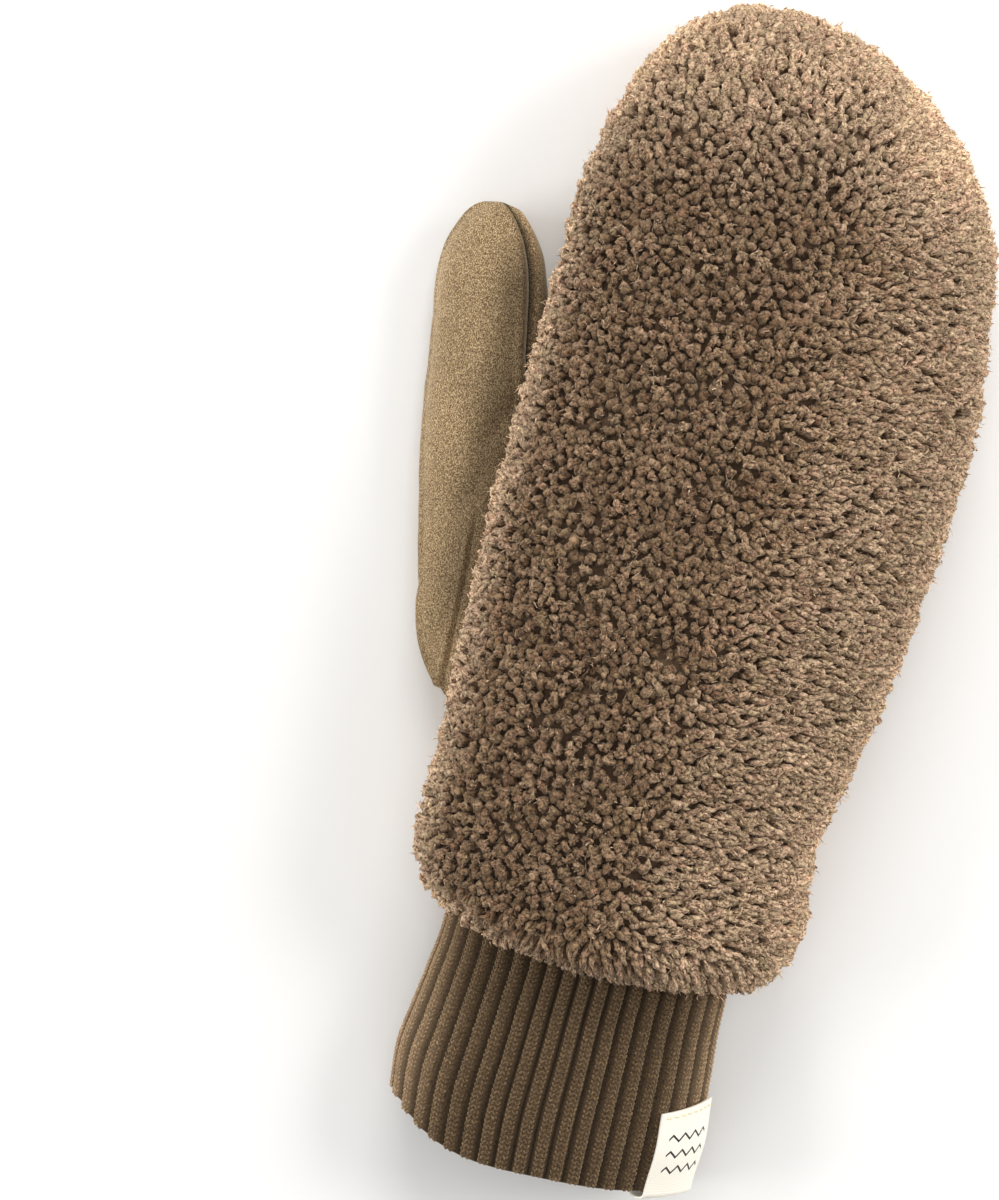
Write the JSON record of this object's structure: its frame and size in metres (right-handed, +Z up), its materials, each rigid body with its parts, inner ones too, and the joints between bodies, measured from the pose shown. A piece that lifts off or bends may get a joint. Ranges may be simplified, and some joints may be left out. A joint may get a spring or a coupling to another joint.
{
  "type": "fleece mitten",
  "caption": "Right-hand mitten with a curly fleece back, a suede-look palm and thumb, a ribbed knit cuff and a small folded hem label, lying on its palm.",
  "frame": {"origin": "on the floor under the middle of the whole mitten's box, which lies on its palm", "axes": "+Y from the cuff to the fingertips, +Z up through the fleece back, -X to the thumb"},
  "size_m": [0.1354, 0.2906, 0.0468],
  "materials": {
    "fleece": "curly pile",
    "suede": "brushed nap",
    "knit": "ribbed knit",
    "label_tape": "woven tape"
  },
  "bodies": {
    "root": {"fleece_back": "fleece", "suede_palm": "suede", "thumb_outer": "suede", "thumb_inner": "suede", "rib_cuff": "knit", "hem_label": "label_tape"}
  },
  "joints": []
}
